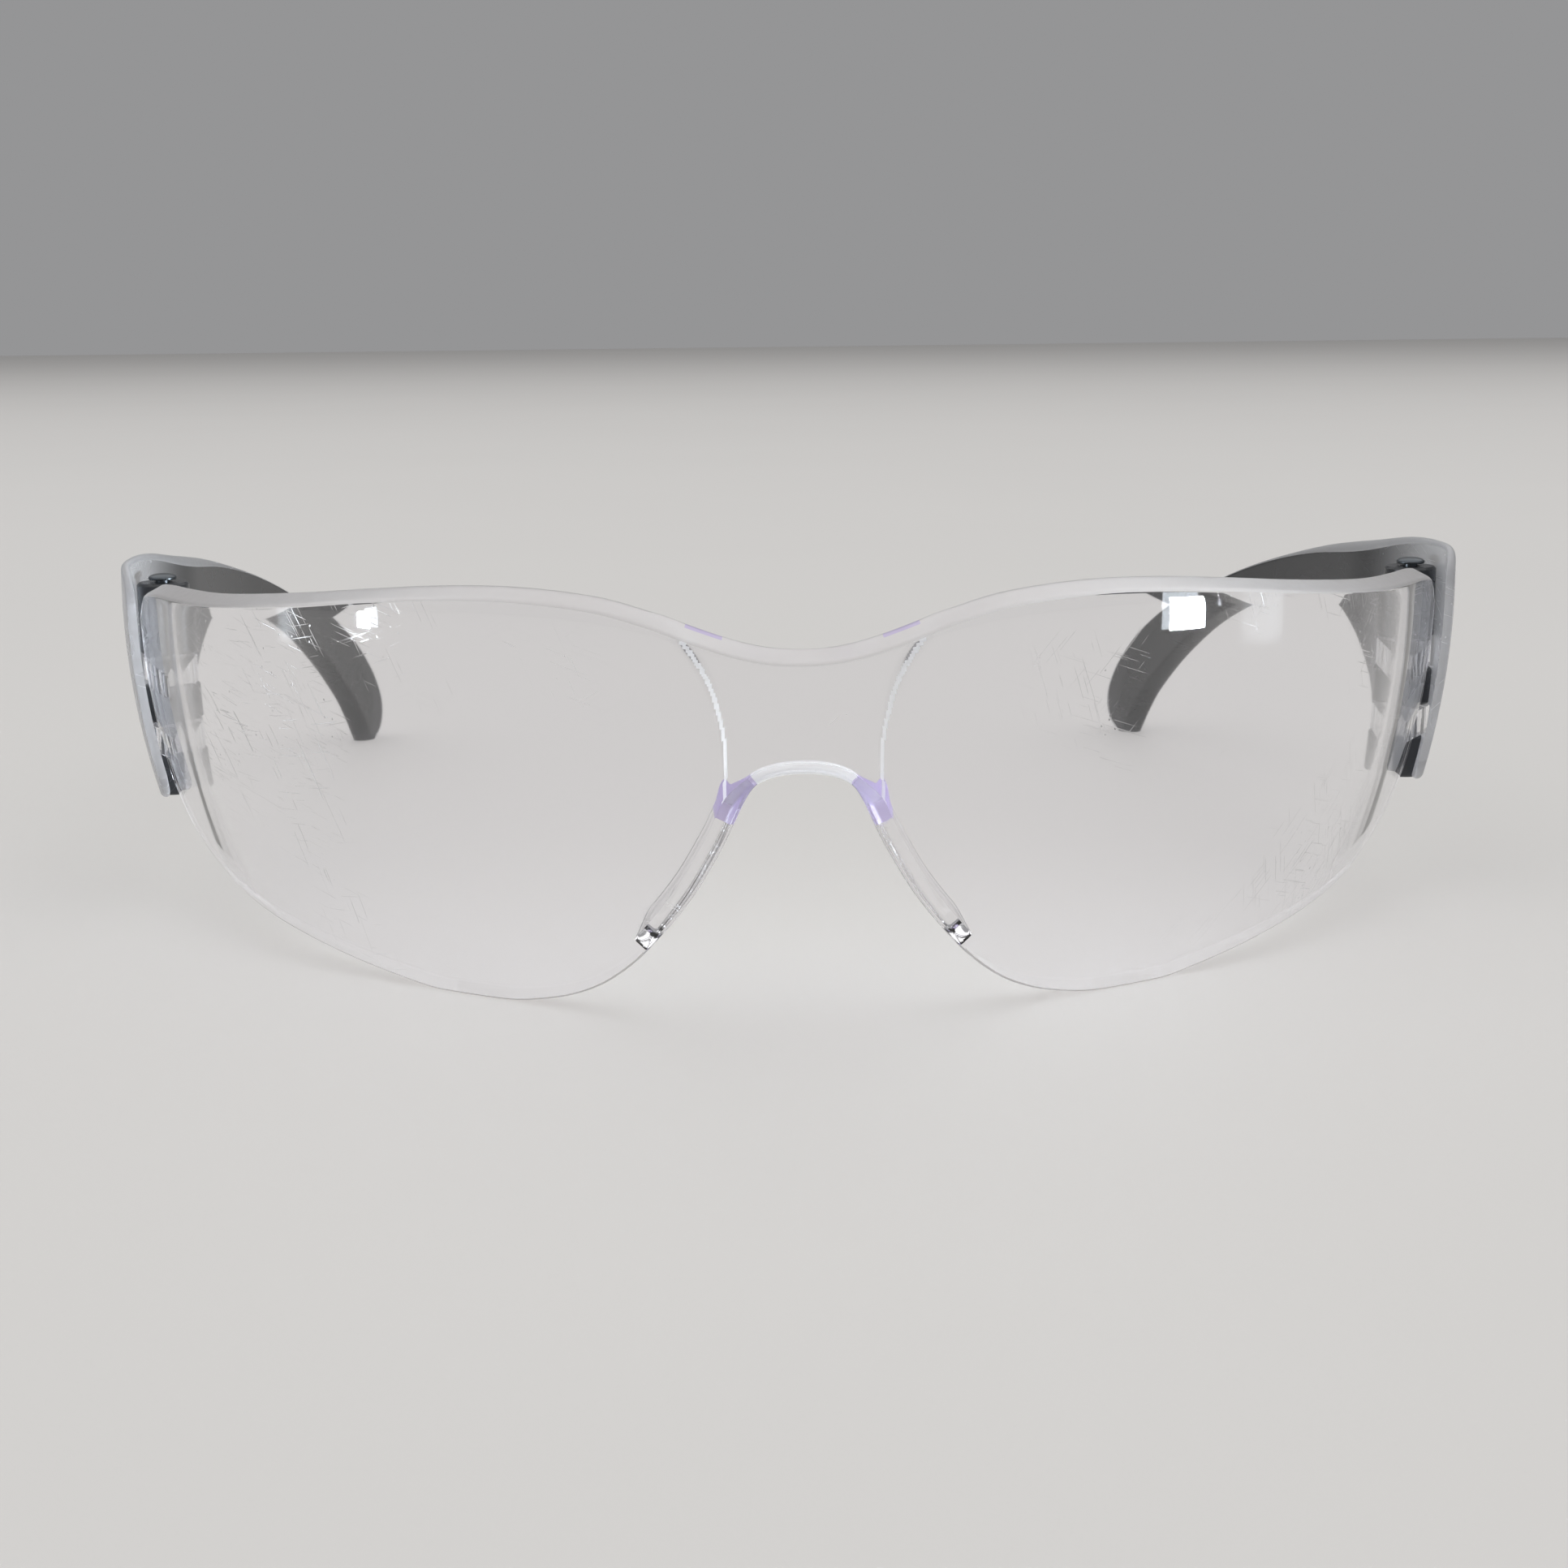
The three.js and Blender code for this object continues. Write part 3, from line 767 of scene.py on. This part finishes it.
def lens_shell(settings, materials):
    """The curved shell of the lens, with rounded edges and the bridge panel's step inside."""
    radius = settings.edge_radius / MM
    fine, coarse = 120, 68
    half = [mix(0, NOSE_REACH, k / fine) for k in range(fine)]
    half += [mix(NOSE_REACH, LENS_END - radius, k / coarse) for k in range(coarse + 1)]
    stations = [(distance, 0.0) for distance in half]
    for angle in (22.5, 45, 67.5, 88):
        turn = math.radians(angle)
        stations.append((LENS_END - radius * (1 - math.sin(turn)), radius * (1 - math.cos(turn))))
    stations = [(-distance, inset) for distance, inset in stations[:0:-1]] + stations
    sections = [lens_section(distance, inset, settings) for distance, inset in stations]
    top, inner, bottom = rim_strips()

    def slot_of(i, k):
        along = abs(stations[i][0])
        if k in top:
            return VIOLET if BROW_TONER[0] < along < BROW_TONER[1] and k > top[len(top) // 2] else RIM
        if k in bottom:
            # the bottom edge under the nose arch gets the painted highlight
            if along < GUSSET[0]:
                return PAINTED_HIGHLIGHT
            return CLEAR if along < SADDLE_END else RIM
        if k in inner and along < NOSE_REACH:
            height = sections[i][k][2]
            inside = border_at(height) - along
            # the crest of the bridge panel's step gets a painted highlight
            return PAINTED_HIGHLIGHT if STEP_CREST[0] < inside / step_width(height) < STEP_CREST[1] else CLEAR
        return CLEAR

    return lofted("shield_lens", sections, materials, slot_of)


def saddle_section(distance):
    """Loop round the nose saddle's wall at one distance from the middle."""
    along = abs(distance)
    side = math.copysign(1, distance)
    step = 0.05
    low = through(LENS_BOTTOM, along)
    rise = through(LENS_BOTTOM, along + step) - through(LENS_BOTTOM, max(along - step, 0))
    slope = rise / (along + step if along < step else 2 * step)
    length = math.hypot(slope, 1)
    pad = smoothstep(along, *PAD_START)
    wall = mix(ARCH_WALL, PAD_WALL, pad)
    foot = smoothstep(SADDLE_END - along, 0, FOOT_LENGTH)
    depth = mix(ARCH_DEPTH, PAD_DEPTH, pad) * mix(FOOT_SHARE, 1, foot)
    away = -side * slope / length
    skin, soft = SADDLE_SETBACK, SADDLE_EDGE_RADIUS
    loop = [(skin, 0)] + between((skin, 0), (skin, depth - soft), 6)
    loop += corner((skin, depth - soft), (skin, depth), (skin + soft, depth), 4)
    loop += corner((wall - soft, depth), (wall, depth), (wall, depth - soft), 4)
    loop += between((wall, depth - soft), (wall, 0), 6) + [(wall, 0)]
    points = []
    for into, behind in loop:
        x, y, z = lens_point(distance + away * into, low + into / length, SADDLE_ROOT)
        points.append((x + side * PAD_FLARE * behind * pad, y + behind, z))
    return points


def build_lens(settings):
    body = clear_plastic("clear_lens", 0.012, 0.8, 0.015, settings.tint, 0.15)
    materials = (
        body,
        matt_plastic_and_highlight("moulded_rim", settings.rim),
        matt_plastic_and_highlight("violet_corner", settings.toner),
        matt_plastic_and_highlight("painted_highlight_band", settings.arch),
    )
    lens = lens_shell(settings, materials)
    columns = 220
    places = [SADDLE_END * (2 * k / columns - 1) for k in range(columns + 1)]

    def slot_of(i, _):
        along = abs(places[i])
        # the saddle's arch gets the painted highlight
        if along < GUSSET[0]:
            return PAINTED_HIGHLIGHT
        return VIOLET if along < GUSSET[1] else CLEAR

    saddle = lofted("saddle", [saddle_section(distance) for distance in places], materials, slot_of)
    combine(lens, saddle, "UNION")
    for place in SIDES.values():
        side = place["side"]
        combine(lens, lug_stack("lugs", side, LUG_RADIUS, 0.0, body), "UNION")
        combine(lens, bore_cutter(side, body), "DIFFERENCE")
    smooth(lens)
    return lens


# The temples. Their material slots are the tinted body, a painted highlight along the edges and on the
# lip, and the hinge knuckles. The near-black tint of body and knuckles is partly the arms' smoke tint and
# partly painted shade.
PLASTIC, EDGE_HIGHLIGHT, KNUCKLE = range(3)
EDGE_ROWS = 8  # rows of the blade round each edge
FLAT_ROWS = 12
LIP_HIGHLIGHT_COLUMNS = 8  # columns of the lip that get the edges' painted highlight


def temple_section(place, side, settings):
    """Loop round the temple's blade, with both edges rounded over."""
    high = spline_point(TEMPLE_TOP, place)
    low = spline_point(TEMPLE_BOTTOM, place)
    tall = math.dist(high, low)
    rows = []
    middle = (high[0] + low[0]) / 2
    full = mix(LIP_THICKNESS, settings.thickness / MM, smoothstep(middle, LIP_LENGTH, ARM_START))
    radius = min(full / 2, tall / 2 - 0.05)
    for k in range(EDGE_ROWS):
        rows.append(radius * (1 - math.cos(math.pi / 2 * k / EDGE_ROWS)) / tall)
    for k in range(FLAT_ROWS + 1):
        rows.append(mix(radius / tall, 1 - radius / tall, k / FLAT_ROWS))
    rows += [1 - row for row in rows[EDGE_ROWS - 1::-1]]
    outer, inner = [], []
    for row in rows:
        back = mix(low[0], high[0], row)
        height = mix(low[1], high[1], row)
        full = mix(LIP_THICKNESS, settings.thickness / MM, smoothstep(back, LIP_LENGTH, ARM_START))
        edge = min(row, 1 - row) * tall
        bulge = math.sqrt(max(1 - (1 - edge / radius) ** 2, 0)) if edge < radius else 1.0
        centre = temple_outer(back, height) - full / 2
        outer.append((side * (centre + full / 2 * bulge), TEMPLE_START + back, height))
        inner.append((side * (centre - full / 2 * bulge), TEMPLE_START + back, height))
    return outer + inner[-2:0:-1]


def temple_blade(name, side, settings, materials):
    columns = 200
    sections = [temple_section(k / columns, side, settings) for k in range(columns + 1)]
    top = len(sections[0]) // 2

    def slot_of(i, k):
        # the lip and the rows round the top and bottom edges get a painted highlight
        return EDGE_HIGHLIGHT if i < LIP_HIGHLIGHT_COLUMNS or top - EDGE_ROWS <= k < top + EDGE_ROWS else PLASTIC

    return lofted(name, sections, materials, slot_of)


def knuckle_room(side):
    """The room inside the temple's outer face that its knuckles may fill."""
    depth, length, start = 12, 8, LIP_LENGTH - 3
    columns, rows = 16, 24
    heights = [mix(HINGE_BOTTOM - BEYOND, HINGE_TOP + BEYOND, n / rows) for n in range(rows + 1)]
    sections = []
    for k in range(columns + 1):
        back = start + length * k / columns
        outer = [(temple_outer(back, h) - KNUCKLE_SKIN, h) for h in heights]
        inner = [(temple_outer(back, h) - depth, h) for h in heights[::-1]]
        sections.append([(side * x, TEMPLE_START + back, h) for x, h in outer + inner])
    return lofted("knuckle_room", sections)


def build_temple(name, place, settings, materials):
    side = place["side"]
    plastic = materials[PLASTIC]
    temple = temple_blade(name, side, settings, materials)
    bottom = HINGE_BOTTOM
    levels = []
    for k in range(LUG_COUNT):
        lug = LUG_BOTTOM + k * LUG_PITCH
        levels.append((bottom, lug - GAP))
        bottom = lug + LUG_HEIGHT + GAP
    levels.append((bottom, HINGE_TOP))
    for low, high in levels:
        knuckle = round_bar("knuckle", side, BARREL_RADIUS, low, high, soft=KNUCKLE_EDGE_RADIUS)
        combine(knuckle, knuckle_room(side), "INTERSECT")
        give_material(knuckle, materials[KNUCKLE])
        combine(temple, knuckle, "UNION")
    for turn in (0.0, LUG_SWING):
        combine(temple, lug_stack("slots", side, SLOT_RADIUS, GAP, plastic, turn), "DIFFERENCE")
    combine(temple, bore_cutter(side, plastic), "DIFFERENCE")
    pivot = Vector(placed((side * PIN_X, PIN_Y, 0)))
    turn = Matrix.Rotation(side * place["splay"], 4, "Z")
    temple.data.transform(Matrix.Translation(pivot) @ turn @ Matrix.Translation(-pivot))
    smooth(temple)
    return temple


def build_pin(name, side, sides):
    """A hinge pin: a plain shank with a low domed head."""
    under_head = HINGE_TOP + GAP
    profile = [
        (0, HINGE_BOTTOM),
        (PIN_RADIUS - PIN_CHAMFER[0], HINGE_BOTTOM),
        (PIN_RADIUS, HINGE_BOTTOM + PIN_CHAMFER[1]),
        (PIN_RADIUS, under_head),
        (PIN_HEAD_RADIUS - PIN_HEAD_BEVEL, under_head),
        (PIN_HEAD_RADIUS, under_head + PIN_HEAD_BEVEL),
    ]
    dome_start = under_head + PIN_HEAD_SHOULDER
    dome_height = PIN_HEAD_HEIGHT - PIN_HEAD_SHOULDER
    steps = 9
    for k in range(steps):
        angle = math.pi / 2 * k / steps
        profile.append((PIN_HEAD_RADIUS * math.cos(angle), dome_start + dome_height * math.sin(angle)))
    profile.append((0, under_head + PIN_HEAD_HEIGHT))
    pin = turned(name, profile, side, sides)
    smooth(pin)
    return pin


# Operators


class GLASSES_OT_lens(bpy.types.Operator):
    """Build the shield lens with its nose saddle and hinge lugs"""

    bl_idname = "glasses.build_lens"
    bl_label = "Build Lens"

    def execute(self, context):
        lens = build_lens(context.scene.glasses_lens)
        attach(lens, "lens")
        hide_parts("lens")
        return {"FINISHED"}


class GLASSES_OT_temples(bpy.types.Operator):
    """Build the two temples with their hinge knuckles"""

    bl_idname = "glasses.build_temples"
    bl_label = "Build Temples"

    def execute(self, context):
        settings = context.scene.glasses_temples
        materials = (
            # the clear temple gets a painted highlight on its hinge plate, in the edge colour
            clear_plastic("clear_temple", 0.22, 0.3, 0.10, settings.tint, 0.05, 0.4, 0.1, settings.edge),
            matt_plastic_and_highlight("painted_edge_highlight", settings.edge),
            clear_plastic("hinge_knuckle", 0.22, 0.3, 0.10, settings.tint, 0.05, 0.4, 0.1))
        for name, place in SIDES.items():
            temple = build_temple(f"temple_arm_{name}", place, settings, materials)
            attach(temple, f"temple_{name}")
            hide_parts(f"temple_{name}")
        return {"FINISHED"}


class GLASSES_OT_pins(bpy.types.Operator):
    """Build the two steel hinge pins"""

    bl_idname = "glasses.build_pins"
    bl_label = "Build Hinge Pins"

    def execute(self, context):
        settings = context.scene.glasses_temples
        steel = pin_steel(settings.steel)
        for name, place in SIDES.items():
            pin = build_pin(f"steel_pin_{name}", place["side"], settings.pin_sides)
            pin.data.materials.append(steel)
            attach(pin, "lens")
            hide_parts(f"hinge_pin_{name}")
        return {"FINISHED"}


# Camera: where it stands in the glasses' own frame, in millimetres, and how it is turned.
CAMERA_PLACE = (-5.13, -212.0, 67.4)
CAMERA_YAW = math.radians(0.9)
CAMERA_PITCH = math.radians(11.55)
CAMERA_ROLL = math.radians(0.65)
# Floor and lights, in the glasses' own frame in millimetres; sizes are width and height, and the
# powers are in watts. The side lights' beams are narrow, to keep them mostly off the floor.
FLOOR_REACH = 3000
SOFTBOX_PLACE = (0, 100, 1300)
SOFTBOX_SIZE = (3600, 3600)
WINDOW_COLOUR = (0.86, 0.94, 1.0)
WINDOW_SPREAD = 16
SIDE_LIGHTS = {
    "window_left": {"place": (-328, -55, 23), "aim": (-41, 13, 38), "size": (15, 20), "power": 0.003},
    "window_right": {"place": (316, -95, 26), "aim": (36, 10, 38), "size": (42, 38), "power": 0.010},
}


def add_light(name, place, aim, size, power, colour=(1, 1, 1), spread=180):
    data = bpy.data.lights.new(name, "AREA")
    data.shape = "RECTANGLE"
    data.size, data.size_y = (side * MM for side in size)
    data.energy = power
    data.spread = math.radians(spread)
    data.color = colour
    light = bpy.data.objects.new(name, data)
    place, aim = Vector(placed(place)), Vector(placed(aim))
    turn = (aim - place).to_track_quat("-Z", "Y").to_matrix().to_4x4()
    light.matrix_world = Matrix.Translation(place) @ turn
    light.visible_camera = False
    bpy.context.scene.collection.objects.link(light)
    return light


def add_camera(focal_length):
    forward = Vector((
        math.sin(CAMERA_YAW) * math.cos(CAMERA_PITCH),
        math.cos(CAMERA_YAW) * math.cos(CAMERA_PITCH),
        -math.sin(CAMERA_PITCH)))
    level = Vector((math.cos(CAMERA_YAW), -math.sin(CAMERA_YAW), 0))
    upright = level.cross(forward)
    right = level * math.cos(CAMERA_ROLL) - upright * math.sin(CAMERA_ROLL)
    up = upright * math.cos(CAMERA_ROLL) + level * math.sin(CAMERA_ROLL)
    data = bpy.data.cameras.new("camera")
    data.sensor_width = 36.0
    data.lens = focal_length
    data.clip_start = 0.01
    camera = bpy.data.objects.new("camera", data)
    turn = Matrix((right, up, -forward)).transposed().to_4x4()
    camera.matrix_world = Matrix.Translation(placed(CAMERA_PLACE)) @ turn
    bpy.context.scene.collection.objects.link(camera)
    bpy.context.scene.camera = camera


class GLASSES_OT_stage(bpy.types.Operator):
    """Build the floor, the soft light and the camera"""

    bl_idname = "glasses.build_stage"
    bl_label = "Build Stage"

    def execute(self, context):
        settings = context.scene.glasses_stage
        corners = [(x * FLOOR_REACH, y * FLOOR_REACH, 0) for x, y in ((-1, -1), (1, -1), (1, 1), (-1, 1))]
        floor = make_object("floor", corners, [(0, 1, 2, 3)])
        floor.data.materials.append(floor_finish(settings.floor_colour))
        world = bpy.data.worlds.new("room")
        world.use_nodes = True
        sky = world.node_tree.nodes["Background"]
        sky.inputs["Color"].default_value = (*settings.surroundings, 1.0)
        context.scene.world = world
        below = (*SOFTBOX_PLACE[:2], 0)
        add_light("softbox", SOFTBOX_PLACE, below, SOFTBOX_SIZE, settings.softbox_power)
        for name, light in SIDE_LIGHTS.items():
            add_light(name, **light, colour=WINDOW_COLOUR, spread=WINDOW_SPREAD)
        add_camera(settings.focal_length)
        context.scene.view_settings.view_transform = "Standard"
        return {"FINISHED"}


class GLASSES_PT_sidebar(bpy.types.Panel):
    """Lists the pieces of the glasses and their sizes"""

    bl_idname = "GLASSES_PT_sidebar"
    bl_label = "Safety Glasses"
    bl_space_type = "VIEW_3D"
    bl_region_type = "UI"
    bl_category = "Glasses"

    def draw(self, context):
        rows = (
            (context.scene.glasses_lens,
             ("thickness", "bridge_extra", "edge_radius", "tint", "rim", "arch", "toner"),
             (GLASSES_OT_lens,)),
            (context.scene.glasses_temples,
             ("thickness", "tint", "edge", "steel", "pin_sides"),
             (GLASSES_OT_temples, GLASSES_OT_pins)),
            (context.scene.glasses_stage,
             ("floor_colour", "surroundings", "softbox_power", "focal_length"),
             (GLASSES_OT_stage,)),
        )
        for settings, names, operators in rows:
            box = self.layout.box()
            for name in names:
                box.prop(settings, name)
            for operator in operators:
                box.operator(operator.bl_idname)


CLASSES = (
    GlassesLensSettings, GlassesTempleSettings, GlassesStageSettings,
    GLASSES_OT_lens, GLASSES_OT_temples, GLASSES_OT_pins, GLASSES_OT_stage, GLASSES_PT_sidebar,
)


def register():
    for cls in CLASSES:
        bpy.utils.register_class(cls)
    bpy.types.Scene.glasses_lens = PointerProperty(type=GlassesLensSettings)
    bpy.types.Scene.glasses_temples = PointerProperty(type=GlassesTempleSettings)
    bpy.types.Scene.glasses_stage = PointerProperty(type=GlassesStageSettings)


def unregister():
    del bpy.types.Scene.glasses_stage
    del bpy.types.Scene.glasses_temples
    del bpy.types.Scene.glasses_lens
    for cls in reversed(CLASSES):
        bpy.utils.unregister_class(cls)


def main():
    register()
    bpy.ops.glasses.build_stage()
    bpy.ops.glasses.build_lens()
    bpy.ops.glasses.build_temples()
    bpy.ops.glasses.build_pins()


if __name__ == "__main__":
    main()
